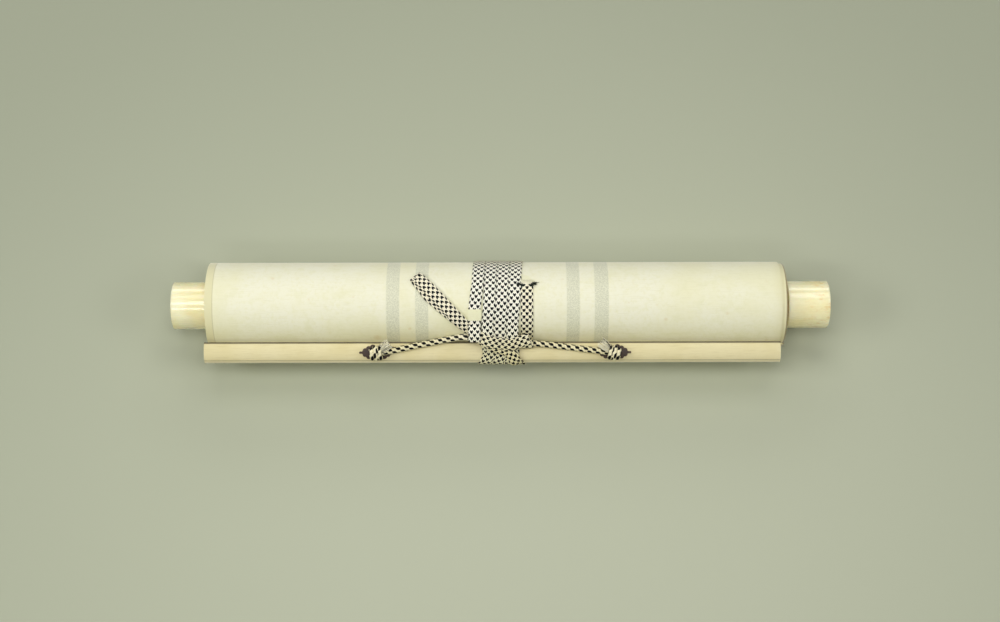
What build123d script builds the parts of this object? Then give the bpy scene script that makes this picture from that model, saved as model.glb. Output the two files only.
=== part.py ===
"""A hanging scroll, rolled up and tied.

The sheet is rolled on a wooden rod with a turned knob at each end. Its top edge is glued round
a half-round stave, which lies along the front of the roll and carries two eyelets. The hanging
cord runs from eyelet to eyelet, and a flat braided strap, looped on that cord, is wound four
times round roll and stave and tied in front.

X runs along the rod, the stave lies on the -Y side, and +Z is up. The roll's weight presses its
underside flat, and it rests on the strap's turns there, at z = 0. All sizes are in millimetres.
"""

import os
from math import acos, asin, cos, degrees, pi, radians, sin, sqrt

from build123d import *

full_turn = 360

# Rod and knobs
rod_diameter = 24.0
tenon_diameter = 12.0
tenon_length = 16.0
tenon_chamfer = 1.0
knob_diameter = 33.3
knob_length = 29.3
knob_edge_radius = 0.9
fit_clearance = 0.1
bore_spare_depth = 1.0

# Sheet: the last turn reaches farthest out where it meets the stave, and the others have slid
# to the right of it, with room between them and each knob
sheet_width = 397.5
sheet_thickness = 0.8
turn_pitch = 1.2
roll_radius = 30.7
inner_turns_shift = 3.6
left_knob_room = 0.25
right_knob_room = 2.65
flat_width = 16.0

# Stave, inside its sleeve of paper, a little longer than the sheet is wide
stave_left_overhang = 2.25
stave_right_overhang = 0.25
stave_height = 14.2
stave_depth = 11.1
sleeve_thickness = 0.6
sleeve_corner_radius = 0.5
stave_clearance = 0.05

# Eyelets, each a split pin with a round eye, seated on a leaf-shaped plate
eyelet_x = (-86.0, 78.3)
eyelet_tilt = 24.0
eye_radius = 3.0
wire_diameter = 1.7
pin_diameter = 2.2
pin_length = 8.5
pin_point = 0.7
pin_slot = 0.3
pin_clearance = 0.1
plate_thickness = 0.8
plate_seat = 0.05
plate_heart_radius = 4.6
plate_tip_reach = 11.3
plate_tip_radius = 0.8
# Lobes of the plate's rim: distance along it, distance across it, radius
plate_lobes = ((2.6, 3.5, 2.0), (5.4, 2.6, 1.9), (7.9, 1.3, 1.7))

# Hanging cord and its knots on the eyes
cord_diameter = 3.8
cord_corner_share = 0.45
knot_length = 10.5
knot_width = 10.5
knot_clearance = 0.1
tuft_length = 8.0
tuft_root_reach = 2.6
tuft_root_radius = 1.5
tuft_end_radius = 2.9
tuft_angle = 38.0
tuft_rise = 12.0

# Braided strap and the paper band on it
strap_width = 8.5
strap_thickness = 1.1
strap_press = 0.1
strap_gap = 0.15
strap_ease = 0.4
strap_pitch = 8.55
strap_start_x = -16.5
strap_sway = 1.9
turns = 4
roll_step = 10.0
stave_step = 12.0
strap_end_x = -17.9
loop_steps = 9
channel_clearance = 0.06
# Angles from the top towards the front: where the strap comes off the cord and on to the roll
start_over_cord = (62, 35)
start_on_roll = (17, 8, 0)
start_drift = 0.063
angle_tolerance = 0.01
first_turn_angle = -8
sway_middle = 100
# The frayed tail: round the hanging cord, then up the roll
tail_x = 18.2
collar_from = -20
collar_to = 230
collar_step = 25
tail_start_angle = 62
tail_end_angle = -7
tail_step = 9
# Places on the roll's face: x, and the angle from the top towards the front
lower_leg_root = (-18.8, 59.0)
lower_leg_end = (-60.7, -9.7)
upper_leg_root = (-18.5, 58.0)
loop_end = (-59.4, -10.8)
loop_fold = (-62.2, -15.2)
band_thickness = 0.3
band_from = 26.0
band_to = 40.4
band_steps = 3

# Roll: half turns of paper, drawn about two centres a little apart
centre_shift = turn_pitch / 4
upper_radius = roll_radius - centre_shift - turn_pitch / 2
lower_radius = roll_radius - centre_shift
room_for_paper = lower_radius - sheet_thickness - rod_diameter / 2 - fit_clearance
half_turns = int(room_for_paper / (turn_pitch / 2))

# The flat under the roll, half its width seen from the axis, and how high the axis stands with
# the strap under it pressed a little thinner
flat_angle = degrees(asin(flat_width / 2 / lower_radius))
flat_depth = lower_radius * (1 - cos(radians(flat_angle)))
axis_height = lower_radius - flat_depth + strap_gap + strap_thickness - strap_press

# Lengthwise: the rod lies in the middle, and the sheet and the stave are placed from its left end
rod_length = left_knob_room + sheet_width + right_knob_room
sheet_left = -rod_length / 2 + left_knob_room - inner_turns_shift
stave_left = sheet_left - stave_left_overhang
stave_length = stave_left_overhang + sheet_width + stave_right_overhang

# The stave's outline with its paper on is half an ellipse
outer_depth = stave_depth + sleeve_thickness
outer_half_height = stave_height / 2 + sleeve_thickness


def at(x, forward, up):
    """A point, given by its distances in front of and above the rod's axis."""
    return Vector(x, -forward, axis_height + up)


def section_plane(x):
    """The plane across the rod's axis at x: its own x runs to the back, its own y runs up."""
    return Plane(origin=at(x, 0, 0), x_dir=(0, 1, 0), z_dir=(1, 0, 0))


def ellipse_reach(angle):
    """How far the stave's outline reaches along a direction, given from the vertical."""
    return sqrt((outer_depth * sin(radians(angle))) ** 2 + (outer_half_height * cos(radians(angle))) ** 2)


def stave_point(angle, lift=0.0):
    """The point, forward and up, where the paper on the stave faces this way."""
    reach = ellipse_reach(angle)
    forward = outer_depth**2 * sin(radians(angle)) / reach + lift * sin(radians(angle))
    up = outer_half_height**2 * cos(radians(angle)) / reach + lift * cos(radians(angle))
    return roll_radius + forward, up


def roll_point(angle, lift=0.0):
    """The point, forward and up, where the roll's outermost turn faces this way."""
    upper = cos(radians(angle)) >= 0
    radius = upper_radius if upper else lower_radius
    shift = -centre_shift if upper else centre_shift
    forward = shift + (radius + lift) * sin(radians(angle))
    up = (radius + lift) * cos(radians(angle))
    return forward, max(up, flat_depth - radius - lift)


def bridge_angle(shift, radius):
    """The direction in which a straight line lies on both the roll and the stave."""
    low, high = 0.0, full_turn / 4
    while high - low > 0.001:
        middle = (low + high) / 2
        roll_reach = shift * sin(radians(middle)) + radius
        stave_reach = roll_radius * sin(radians(middle)) + ellipse_reach(middle)
        if roll_reach > stave_reach:
            low = middle
        else:
            high = middle
    return low


upper_bridge = bridge_angle(-centre_shift, upper_radius)
lower_bridge = full_turn / 2 - bridge_angle(centre_shift, lower_radius)


# Rod, with a tenon at each end
with BuildPart() as roller_rod:
    with BuildSketch(section_plane(-rod_length / 2)):
        Circle(rod_diameter / 2)
    extrude(amount=rod_length)
    with BuildSketch(section_plane(-rod_length / 2 - tenon_length)):
        Circle(tenon_diameter / 2)
    extrude(amount=rod_length + 2 * tenon_length)
    tenon_ends = roller_rod.edges().filter_by(GeomType.CIRCLE).group_by(Axis.X)
    chamfer(tenon_ends[0] + tenon_ends[-1], length=tenon_chamfer)


def make_knob(side):
    """A turned knob with a blind bore for the rod's tenon."""
    with BuildPart() as knob:
        with BuildSketch(section_plane(side * rod_length / 2)):
            Circle(knob_diameter / 2)
        extrude(amount=side * knob_length)
        fillet(knob.edges().filter_by(GeomType.CIRCLE), radius=knob_edge_radius)
        with BuildSketch(section_plane(side * rod_length / 2)):
            Circle(tenon_diameter / 2 + fit_clearance)
        extrude(amount=side * (tenon_length + bore_spare_depth), mode=Mode.SUBTRACT)
    return knob.part


def sheet_end(half_turn):
    """How far back the sheet's outer face stands where a half turn begins."""
    if half_turn % 2 == 0:
        return -centre_shift - (lower_radius - half_turn * turn_pitch / 2)
    return centre_shift + (lower_radius - half_turn * turn_pitch / 2)


def draw_lower_half(radius, depth):
    """The lower half of a turn, pressed flat at the bottom over this depth."""
    reach = full_turn / 4 - degrees(acos(1 - depth / radius))
    front = CenterArc((-centre_shift, 0), radius, full_turn / 2, reach)
    back = CenterArc((-centre_shift, 0), radius, full_turn, -reach)
    Line(front @ 1, back @ 1)


def draw_sheet(first, last):
    """The sheet's section between two half turns, counted inwards from the stave.

    Each turn is pressed flat a little less than the one outside it.
    """
    for wall in (0, sheet_thickness):
        for half_turn in range(first, last):
            radius = lower_radius - half_turn * turn_pitch / 2 - wall
            if half_turn % 2 == 0:
                draw_lower_half(radius, flat_depth * (1 - half_turn / half_turns))
            else:
                CenterArc((centre_shift, 0), radius, 0, full_turn / 2)
    for end in (first, last):
        outside = sheet_end(end)
        inwards = sheet_thickness if outside < 0 else -sheet_thickness
        Line((outside, 0), (outside + inwards, 0))


def draw_stave(margin, back=0.0):
    """Half an ellipse round the stave, grown by a margin, closed by a flat that may stand back."""
    half_height = stave_height / 2 + margin
    depth = stave_depth + margin
    start = full_turn / 4
    EllipticalCenterArc((-roll_radius, 0), depth, half_height, start, arc_size=full_turn / 2)
    if back > 0:
        Line((-roll_radius, half_height), (-roll_radius + back, half_height))
        Line((-roll_radius, -half_height), (-roll_radius + back, -half_height))
    Line((-roll_radius + back, half_height), (-roll_radius + back, -half_height))


def eyelet_plane(x):
    """The plane on the stave's paper where an eyelet sits, square to its pin."""
    tilt = radians(eyelet_tilt)
    seat = at(x, *stave_point(eyelet_tilt))
    return Plane(origin=seat, x_dir=(1, 0, 0), z_dir=(0, -sin(tilt), cos(tilt)))


def cut_pin_holes():
    """A hole for each eyelet's pin, from outside the stave's paper inwards."""
    for x in eyelet_x:
        with BuildSketch(eyelet_plane(x).offset(plate_seat)) as hole:
            Circle(pin_diameter / 2 + pin_clearance)
        extrude(hole.sketch, amount=-(pin_length + pin_clearance), mode=Mode.SUBTRACT)


# Sheet: the last turn lies square over the others, which have slid a little to one side
with BuildPart() as paper_roll:
    with BuildSketch(section_plane(sheet_left + inner_turns_shift)):
        with BuildLine():
            draw_sheet(2, half_turns)
        make_face()
    extrude(amount=sheet_width)
    with BuildSketch(section_plane(sheet_left)):
        with BuildLine():
            draw_sheet(0, 2)
        make_face()
    extrude(amount=sheet_width)
    with BuildSketch(section_plane(stave_left)):
        with BuildLine():
            draw_stave(sleeve_thickness, sheet_thickness)
        make_face()
        fillet(vertices().group_by(Axis.Y)[-1].sort_by(Axis.X)[-1], radius=sleeve_corner_radius)
        fillet(vertices().group_by(Axis.Y)[0].sort_by(Axis.X)[-1], radius=sleeve_corner_radius)
    extrude(amount=stave_length)
    with BuildSketch(section_plane(stave_left)):
        with BuildLine():
            draw_stave(0)
        make_face()
    extrude(amount=stave_length, mode=Mode.SUBTRACT)
    cut_pin_holes()


# Wooden core of the stave, drilled for the two eyelets
with BuildPart() as stave_core:
    with BuildSketch(section_plane(stave_left)):
        with BuildLine():
            draw_stave(-stave_clearance)
        make_face()
    extrude(amount=stave_length)
    cut_pin_holes()


def make_plate(x):
    """A leaf-shaped plate with a lobed rim, bent to the stave's round and bored for the pin."""
    plane = eyelet_plane(x)
    with BuildPart() as plate:
        with BuildSketch(plane.offset(-plate_heart_radius)):
            Circle(plate_heart_radius)
            for side in (-1, 1):
                with Locations((side * plate_tip_reach, 0)):
                    Circle(plate_tip_radius)
                with BuildLine():
                    Polyline(
                        (0, plate_heart_radius),
                        (side * plate_tip_reach, plate_tip_radius / 2),
                        (side * plate_tip_reach, -plate_tip_radius / 2),
                        (0, -plate_heart_radius),
                        close=True,
                    )
                make_face()
                for along, across, radius in plate_lobes:
                    with Locations((side * along, across), (side * along, -across)):
                        Circle(radius)
            Circle(pin_diameter / 2 + pin_clearance, mode=Mode.SUBTRACT)
        extrude(amount=2 * plate_heart_radius)
        reach = plate_tip_reach + plate_tip_radius
        with BuildSketch(section_plane(x - reach)):
            with BuildLine():
                draw_stave(sleeve_thickness + plate_seat + plate_thickness)
            make_face()
            with BuildLine():
                draw_stave(sleeve_thickness + plate_seat)
            make_face(mode=Mode.SUBTRACT)
        extrude(amount=2 * reach, mode=Mode.INTERSECT)
    return plate.part


def make_eyelet(x):
    """A split pin: a round eye over a slotted shank with a blunt point."""
    plane = eyelet_plane(x)
    top = plane.offset(plate_seat + plate_thickness)
    with BuildPart() as eyelet:
        with BuildSketch(plane.offset(plate_seat - pin_length)):
            Circle(pin_diameter / 2)
        extrude(amount=pin_length + plate_thickness + wire_diameter / 2)
        pin_rims = eyelet.edges().filter_by(GeomType.CIRCLE).sort_by(Axis(top.origin, top.z_dir))
        chamfer(pin_rims[0], length=pin_point)
        with BuildSketch(plane.offset(plate_seat - pin_length)):
            Rectangle(pin_slot, pin_diameter)
        extrude(amount=pin_length - wire_diameter, mode=Mode.SUBTRACT)
        eye_middle = top.origin + top.z_dir * (eye_radius + wire_diameter / 2)
        wire_middle = eye_middle + top.z_dir * eye_radius
        with BuildSketch(Plane(origin=wire_middle, x_dir=(1, 0, 0), z_dir=top.y_dir)):
            Circle(wire_diameter / 2)
        revolve(axis=Axis(eye_middle, (1, 0, 0)))
    return eyelet.part


# Hanging cord: its middle line from knot to knot, each point given by x, its distance in front of
# the seam between roll and stave, and its height above the rod's axis
cord_route = (
    (-82.5, 7.6, 9.6),
    (-73.0, 6.0, 9.2),
    (-60.7, 3.2, 10.0),
    (-47.0, 0.8, 10.6),
    (-35.5, -0.7, 13.6),
    (-26.0, -1.2, 17.2),
    (-18.5, -0.4, 15.8),
    (-13.0, 0.1, 12.9),
    (-7.0, 0.4, 12.0),
    (1.0, 0.6, 10.8),
    (8.0, 0.9, 10.9),
    (14.5, 1.3, 11.4),
    (22.0, 1.7, 11.3),
    (30.0, 2.0, 10.3),
    (40.0, 3.2, 9.9),
    (51.5, 4.6, 9.7),
    (63.5, 6.1, 9.4),
    (74.8, 7.6, 9.6),
)


def corner_radii(points):
    """The largest arc that each corner of a cord's route has room for."""
    radii = []
    for before, corner, after in zip(points, points[1:], points[2:]):
        turn = radians((corner - before).get_angle(after - corner))
        shorter = min((corner - before).length, (after - corner).length)
        radii.append(cord_corner_share * shorter * cos(turn / 2) / sin(turn / 2))
    return radii


cord_places = [(x, roll_radius + ahead, up) for x, ahead, up in cord_route]
cord_points = [at(*place) for place in cord_places]
cord_radii = corner_radii(cord_points)
print("cord radii", [round(radius, 1) for radius in cord_radii])

with BuildPart() as hanging_cord:
    with BuildLine() as cord_line:
        FilletPolyline(*cord_points, radius=cord_radii)
    with BuildSketch(Plane(origin=cord_points[0], z_dir=cord_points[1] - cord_points[0])):
        Circle(cord_diameter / 2)
    sweep()

# Room for the cord where the strap's turns press on it
with BuildPart() as cord_channel:
    with BuildLine():
        FilletPolyline(*cord_points, radius=cord_radii)
    with BuildSketch(Plane(origin=cord_points[0], z_dir=cord_points[1] - cord_points[0])):
        Circle(cord_diameter / 2 + channel_clearance)
    sweep()

cord_length = sum(edge.length for edge in cord_line.edges())
cord_volume_ratio = hanging_cord.part.volume / (cord_length * pi * (cord_diameter / 2) ** 2)
print("cord length", round(cord_length, 1), "volume ratio", round(cord_volume_ratio, 4))


def make_knot(x):
    """The cord's knot round an eye, with the cord's frayed end standing out of it."""
    side = -1 if x > 0 else 1
    top = eyelet_plane(x).offset(plate_seat + plate_thickness)
    middle = top.origin + top.z_dir * (eye_radius + wire_diameter / 2)
    fall = radians(tuft_rise)
    away = radians(tuft_angle)
    lean = top.x_dir * (side * cos(away) * cos(fall))
    lean += top.y_dir * (sin(away) * cos(fall))
    lean += top.z_dir * sin(fall)
    with BuildPart() as knot:
        with BuildSketch(Plane(origin=middle, x_dir=(1, 0, 0), z_dir=top.y_dir)):
            Ellipse(knot_length / 2, knot_width / 2)
            Rectangle(knot_length, knot_width, align=(Align.CENTER, Align.MAX), mode=Mode.SUBTRACT)
        revolve(axis=Axis(middle, (1, 0, 0)))
        with BuildSketch(Plane(origin=middle + lean * tuft_root_reach, z_dir=lean)):
            Circle(tuft_root_radius)
        with BuildSketch(Plane(origin=middle + lean * (knot_length / 2 + tuft_length), z_dir=lean)):
            Circle(tuft_end_radius)
        loft()
        with BuildSketch(top.offset(knot_clearance)):
            Circle(knot_length)
        extrude(amount=-knot_width, mode=Mode.SUBTRACT)
        with BuildSketch(Plane(origin=middle + top.y_dir * eye_radius, x_dir=(1, 0, 0), z_dir=top.z_dir)):
            Circle(wire_diameter / 2 + knot_clearance)
        revolve(axis=Axis(middle, (1, 0, 0)), mode=Mode.SUBTRACT)
        with BuildSketch(top):
            Circle(pin_diameter / 2 + knot_clearance)
        extrude(amount=wire_diameter / 2 + knot_clearance, mode=Mode.SUBTRACT)
        add(hanging_cord.part, mode=Mode.SUBTRACT)
    return knot.part


# Strap: stations hold x, the distances in front of and above the axis, and the way it faces
strap_lift = strap_gap + strap_thickness / 2
layer = strap_gap + strap_thickness
over_turns = strap_lift + layer
band_lift = strap_lift + band_thickness + strap_gap
bridge_start = roll_point(upper_bridge)
bridge_end = stave_point(upper_bridge)
band_angles = [band_to - (band_to - band_from) * step / band_steps for step in range(band_steps + 1)]


def on_roll(x, angle, lift=strap_lift):
    """A station on the roll. It faces down on the flat, and half turns down at the flat's edges."""
    past_bottom = angle % full_turn - full_turn / 2
    facing = angle
    if abs(past_bottom) < flat_angle + angle_tolerance:
        facing = angle - past_bottom / 2
    if abs(past_bottom) < flat_angle - angle_tolerance:
        facing = angle - past_bottom
    return (x, *roll_point(angle, lift), facing)


def on_stave(x, angle, lift=strap_lift):
    """A station on the stave's round."""
    return (x, *stave_point(angle, lift), angle)


def on_bridge(x, share, lift=strap_lift):
    """A station at a share of the straight stretch from the roll down to the stave."""
    lean = radians(upper_bridge)
    forward = bridge_start[0] + share * (bridge_end[0] - bridge_start[0]) + lift * sin(lean)
    up = bridge_start[1] + share * (bridge_end[1] - bridge_start[1]) + lift * cos(lean)
    return (x, forward, up, upper_bridge)


def cord_at(x):
    """Where the hanging cord's middle line passes at x, in front of and above the axis."""
    for start, end in zip(cord_places, cord_places[1:]):
        if start[0] <= x <= end[0]:
            share = (x - start[0]) / (end[0] - start[0])
            return start[1] + share * (end[1] - start[1]), start[2] + share * (end[2] - start[2])


def round_cord(x, angle):
    """A station where the strap passes over the hanging cord or is turned round it."""
    forward, up = cord_at(x)
    lift = cord_diameter / 2 + strap_ease + strap_lift
    return (x, forward + lift * sin(radians(angle)), up + lift * cos(radians(angle)), angle)


def turned_over(station):
    """The same station with the strap's other face outwards."""
    return (*station[:3], station[3] + full_turn / 2)


def strap_x(angle):
    """How the strap moves along the roll as its angle runs down, turn after turn."""
    x = strap_start_x + strap_pitch * (band_from - angle) / full_turn
    in_front = cos(radians(angle - sway_middle))
    if in_front > 0:
        x -= strap_sway * in_front**2
    return x


def even_angles(stops, longest):
    """Angles from the first stop to the last, at even steps between each two of them."""
    angles = [stops[0]]
    for start, end in zip(stops, stops[1:]):
        steps = round(abs(end - start) / longest)
        angles += [start + (end - start) * step / steps for step in range(1, steps + 1)]
    return angles


def winding_stations():
    """From the looped end over the cord, up the roll, and four times round roll and stave."""
    stations = [round_cord(strap_end_x, angle) for angle in start_over_cord]
    for angle in band_angles:
        stations.append(on_roll(strap_end_x, angle, band_lift))
    for angle in start_on_roll:
        stations.append(on_roll(strap_end_x + start_drift * (band_from - angle), angle))
    for turn in range(turns):
        first = first_turn_angle if turn == 0 else upper_bridge - full_turn * turn
        under = -full_turn * (turn + 1 / 2)
        last = lower_bridge - full_turn * (turn + 1)
        for angle in even_angles((first, under + flat_angle, under - flat_angle, last), roll_step):
            stations.append(on_roll(strap_x(angle), angle))
        end = upper_bridge - full_turn * (turn + 1)
        if turn == turns - 1:
            end = sway_middle - full_turn * turns
        for angle in even_angles((last, end), stave_step):
            stations.append(on_stave(strap_x(angle), angle))
        if turn < turns - 1:
            stations.append(round_cord(strap_x(end), upper_bridge))
    return stations


def slanting(start, end, lift=strap_lift):
    """Stations straight across the roll's face from one place, x and angle, to another."""
    for step in range(loop_steps + 1):
        share = step / loop_steps
        yield on_roll(start[0] + share * (end[0] - start[0]), start[1] + share * (end[1] - start[1]), lift)


# The last turn crosses the others, passes under the cord and is folded back as a loop. Each
# place gives x, the angle or the share of the straight stretch down to it, and the lift.
crossing_stations = [
    on_stave(13.2, 85, strap_lift + 0.4),
    on_stave(11.2, 62, over_turns + 0.3),
    on_bridge(5.5, 0.82, over_turns + 0.8),
    on_bridge(-1.0, 0.71, over_turns + 1.2),
    on_bridge(-7.0, 0.62, over_turns + 1.9),
    on_bridge(-12.5, 0.49, over_turns + 1.0),
]

# The loop's upper leg comes back under the cord and crosses to the other side of the turns
return_stations = [
    on_bridge(-12.0, 0.455, over_turns + layer + 1.2),
    on_bridge(-6.5, 0.53, over_turns + layer + 1.9),
    on_bridge(0.0, 0.58, over_turns + layer + 1.2),
    on_bridge(8.0, 0.60, over_turns + layer + 0.8),
    on_bridge(14.0, 0.53, over_turns + layer + 0.8),
    on_bridge(20.0, 0.455, over_turns + layer + 0.6),
]
fold_stations = [on_roll(x, angle, strap_lift + layer / 2) for x, angle in (loop_end, loop_fold)]


def tail_stations():
    """Round the hanging cord from above to below, then up the roll to the frayed end."""
    stations = [round_cord(tail_x, angle) for angle in range(collar_from, collar_to + 1, collar_step)]
    for angle in range(tail_start_angle, tail_end_angle, -tail_step):
        stations.append(turned_over(on_roll(tail_x, angle)))
    stations.append(turned_over(on_roll(tail_x, tail_end_angle)))
    return stations


def ribbon(stations, width=strap_width, thickness=strap_thickness, mode=Mode.ADD):
    """A flat band lofted through its stations, square to its run at each one."""
    points = [at(*station[:3]) for station in stations]
    sections = []
    for index, station in enumerate(stations):
        facing = Vector(0, -sin(radians(station[3])), cos(radians(station[3])))
        run = points[min(index + 1, len(points) - 1)] - points[max(index - 1, 0)]
        run = (run - facing * run.dot(facing)).normalized()
        with BuildSketch(Plane(origin=points[index], x_dir=facing.cross(run), z_dir=run)) as section:
            Rectangle(width, thickness)
        sections.append(section.sketch)
    loft(sections, ruled=True, mode=mode)


with BuildPart() as winding_strap:
    ribbon(winding_stations() + crossing_stations + list(slanting(lower_leg_root, lower_leg_end)))
    ribbon(list(slanting(loop_end, upper_leg_root, over_turns)) + return_stations)
    ribbon(fold_stations, thickness=strap_thickness + layer)
    ribbon(tail_stations())
    add(cord_channel.part, mode=Mode.SUBTRACT)
    split(bisect_by=Plane.XY, keep=Keep.TOP)

band_stations = [on_roll(strap_end_x, angle, band_lift) for angle in band_angles]
with BuildPart() as paper_band:
    inner_width = strap_width + 2 * strap_gap
    inner_thickness = strap_thickness + 2 * strap_gap
    ribbon(band_stations, inner_width + 2 * band_thickness, inner_thickness + 2 * band_thickness)
    ribbon(band_stations, inner_width, inner_thickness, mode=Mode.SUBTRACT)

pieces = {
    "roller_rod": roller_rod.part,
    "left_knob": make_knob(-1),
    "right_knob": make_knob(1),
    "paper_roll": paper_roll.part,
    "stave_core": stave_core.part,
    "winding_strap": winding_strap.part,
    "paper_band": paper_band.part,
    "hanging_cord": hanging_cord.part,
}
for side, x in zip(("left", "right"), eyelet_x):
    pieces[side + "_eyelet"] = make_eyelet(x)
    pieces[side + "_eyelet_plate"] = make_plate(x)
    pieces[side + "_cord_knot"] = make_knot(x)

# The origin is on the table, under the middle of the whole
boxes = [piece.bounding_box() for piece in pieces.values()]
middle_x = (min(box.min.X for box in boxes) + max(box.max.X for box in boxes)) / 2
middle_y = (min(box.min.Y for box in boxes) + max(box.max.Y for box in boxes)) / 2
os.makedirs("parts", exist_ok=True)
for name, piece in pieces.items():
    piece = piece.moved(Location((-middle_x, -middle_y, 0)))
    piece.label = name
    export_step(piece, "parts/" + name + ".step")
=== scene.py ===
"""Looks of the rolled and tied hanging scroll: paper, braid, ivory-coloured knobs and bronze.

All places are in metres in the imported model's frame. X runs along the roll, the stave lies on
the -Y side, and Z is up. A place on the roll is given as x, forward of the rod's axis, and above it.
Angles on the roll are in degrees, counted from straight up towards the front.
"""

from itertools import chain
from math import asin, cos, degrees, pi, radians, sin, sqrt, tan

import bpy
import numpy as np
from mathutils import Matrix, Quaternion, Vector


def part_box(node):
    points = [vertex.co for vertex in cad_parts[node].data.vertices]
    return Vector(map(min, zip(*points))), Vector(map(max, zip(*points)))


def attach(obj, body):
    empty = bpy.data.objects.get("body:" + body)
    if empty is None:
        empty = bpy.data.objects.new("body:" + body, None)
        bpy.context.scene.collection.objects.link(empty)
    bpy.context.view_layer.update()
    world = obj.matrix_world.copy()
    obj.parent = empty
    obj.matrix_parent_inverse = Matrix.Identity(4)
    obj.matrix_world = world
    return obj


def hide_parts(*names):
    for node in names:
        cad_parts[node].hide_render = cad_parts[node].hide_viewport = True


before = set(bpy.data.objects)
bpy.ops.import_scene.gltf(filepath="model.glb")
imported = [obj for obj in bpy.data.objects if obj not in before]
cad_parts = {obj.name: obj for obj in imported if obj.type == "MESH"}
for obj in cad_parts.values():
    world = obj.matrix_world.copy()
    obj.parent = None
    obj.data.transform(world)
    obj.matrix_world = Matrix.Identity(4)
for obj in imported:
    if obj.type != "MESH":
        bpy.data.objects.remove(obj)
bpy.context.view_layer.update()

# The rod's axis
rod_low, rod_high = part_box("roller_rod")
axis_y = (rod_low.y + rod_high.y) / 2
axis_z = (rod_low.z + rod_high.z) / 2

# Roll and stave
roll_radius = 0.0307
turn_pitch = 0.0012
centre_shift = turn_pitch / 4
upper_radius = roll_radius - centre_shift - turn_pitch / 2
lower_radius = roll_radius - centre_shift
flat_width = 0.016
flat_angle = degrees(asin(flat_width / 2 / lower_radius))
flat_depth = lower_radius * (1 - cos(radians(flat_angle)))
flat_blend = 3.0
stave_depth = 0.0117
stave_half_height = 0.0077
eyelet_x = (-0.086, 0.0783)
eyelet_tilt = 24.0
plate_top = 0.00085
eye_radius = 0.00385

# Paper: places of its bands and margins along the roll
band_edges = ((-0.0787, -0.0697), (-0.0587, -0.0498), (0.0456, 0.0545), (0.0648, 0.0744))
band_softness = 0.0005
cover_left = -0.1983
cover_right = 0.1894
margin_softness = 0.004
margin_line = (0.00045, 0.00012)
rim_x = 0.1972
rim_line = (0.0006, 0.0003)

# Brown spots: x, forward, up and size
fox_spots = (
    (-0.1318, 0.0065, 0.0298, 0.0016),
    (-0.1012, 0.0045, 0.0301, 0.0014),
    (-0.0625, 0.0240, 0.0180, 0.0020),
    (0.1075, 0.0105, 0.0285, 0.0015),
    (0.0880, 0.0090, 0.0290, 0.0012),
    (-0.0852, 0.0287, 0.0106, 0.0042),
    (0.1925, 0.0420, 0.0043, 0.0022),
)

# Painted shade in the groove between roll and stave, and the sleeve's glued edge: forward and up from the
# axis
groove_shade_place = (0.0301, 0.0081)
groove_shade_reach = 0.0016
sleeve_from = lower_radius + 0.0001
sleeve_edge_up = 0.0025
sleeve_edge_from = 0.036

# Painted shade, darker and yellower, from one of these heights above the axis down to the other
lower_shade_from = 0.027
lower_shade_to = 0.006

# Blotches on the right knob, the knobs' lathe rings, and the wood's year rings
blotch_from = 0.205
blotch_to = 0.226
lathe_ring_density = 9000.0
year_ring_density = 5200.0

# Strap: a flat braid with columns of V-shaped stitches. Every third stitch of a column is dark
strap_width = 0.0085
strap_thickness = 0.0011
strap_gap = 0.00015
strap_ease = 0.0004
strap_lift = strap_gap + strap_thickness / 2
layer = strap_gap + strap_thickness
over_turns = strap_lift + layer
column_width = strap_width / 4
stitch_length = 0.0015
stitch_rise = 0.68
stitch_relief = 0.00017
stitches_per_mark = 3
rows_per_stitch = 7
strap_spacing = stitch_length / rows_per_stitch
steps_across = 32
points_under = 5
edge_roundness = 5
stitch_dome = 0.9
column_dip = 0.55
spine_dip = 0.35
spine_width = 0.1

# Winding: it starts over the hanging cord and goes four times round roll and stave
turns = 4
strap_pitch = 0.00855
strap_start_x = -0.0165
strap_end_x = -0.0179
strap_sway = 0.0019
sway_middle = 100
first_turn_angle = -8
start_over_cord = (62, 35)
start_on_roll = (17, 8, 0)
start_drift = 0.000063
band_from = 26.0
band_to = 40.4
band_stations = 4
band_thickness = 0.0003
band_lift = strap_lift + band_thickness + strap_gap
roll_step = 5.0
stave_step = 6.0

# Tie: over the turns, under the cord, folded into a loop, back, round the cord and up the roll.
# Places on the stave are x, angle and lift, those on the roll's face x and angle, and those between
# roll and stave x, share of the way down, and height above what they cross
crossing_on_stave = ((0.0132, 85, strap_lift + 0.0004), (0.0112, 62, over_turns + 0.0003))
crossing_places = (
    (0.0055, 0.82, 0.0008),
    (-0.0010, 0.71, 0.0012),
    (-0.0070, 0.62, 0.0019),
    (-0.0125, 0.49, 0.0010),
)
lower_leg = ((-0.0188, 59.0), (-0.0244, 48.6), (-0.0370, 28.4), (-0.0493, 8.0), (-0.0574, -13.0))
upper_leg = ((-0.0567, -15.4), (-0.0463, 5.0), (-0.0359, 25.3), (-0.0255, 45.6), (-0.0185, 58.0))
returning_places = (
    (-0.0120, 0.455, 0.0012),
    (-0.0065, 0.53, 0.0019),
    (0.0000, 0.58, 0.0012),
    (0.0080, 0.60, 0.0008),
    (0.0140, 0.53, 0.0008),
    (0.0200, 0.455, 0.0006),
)
leg_steps = 5
fold_reach = 0.0022
fold_points = 7
loop_width = 0.0089
tail_x = 0.0182
tail_round_cord = range(-20, 231, 25)
tail_up_roll = range(62, -8, -3)
tail_end_angle = -7.0

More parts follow.
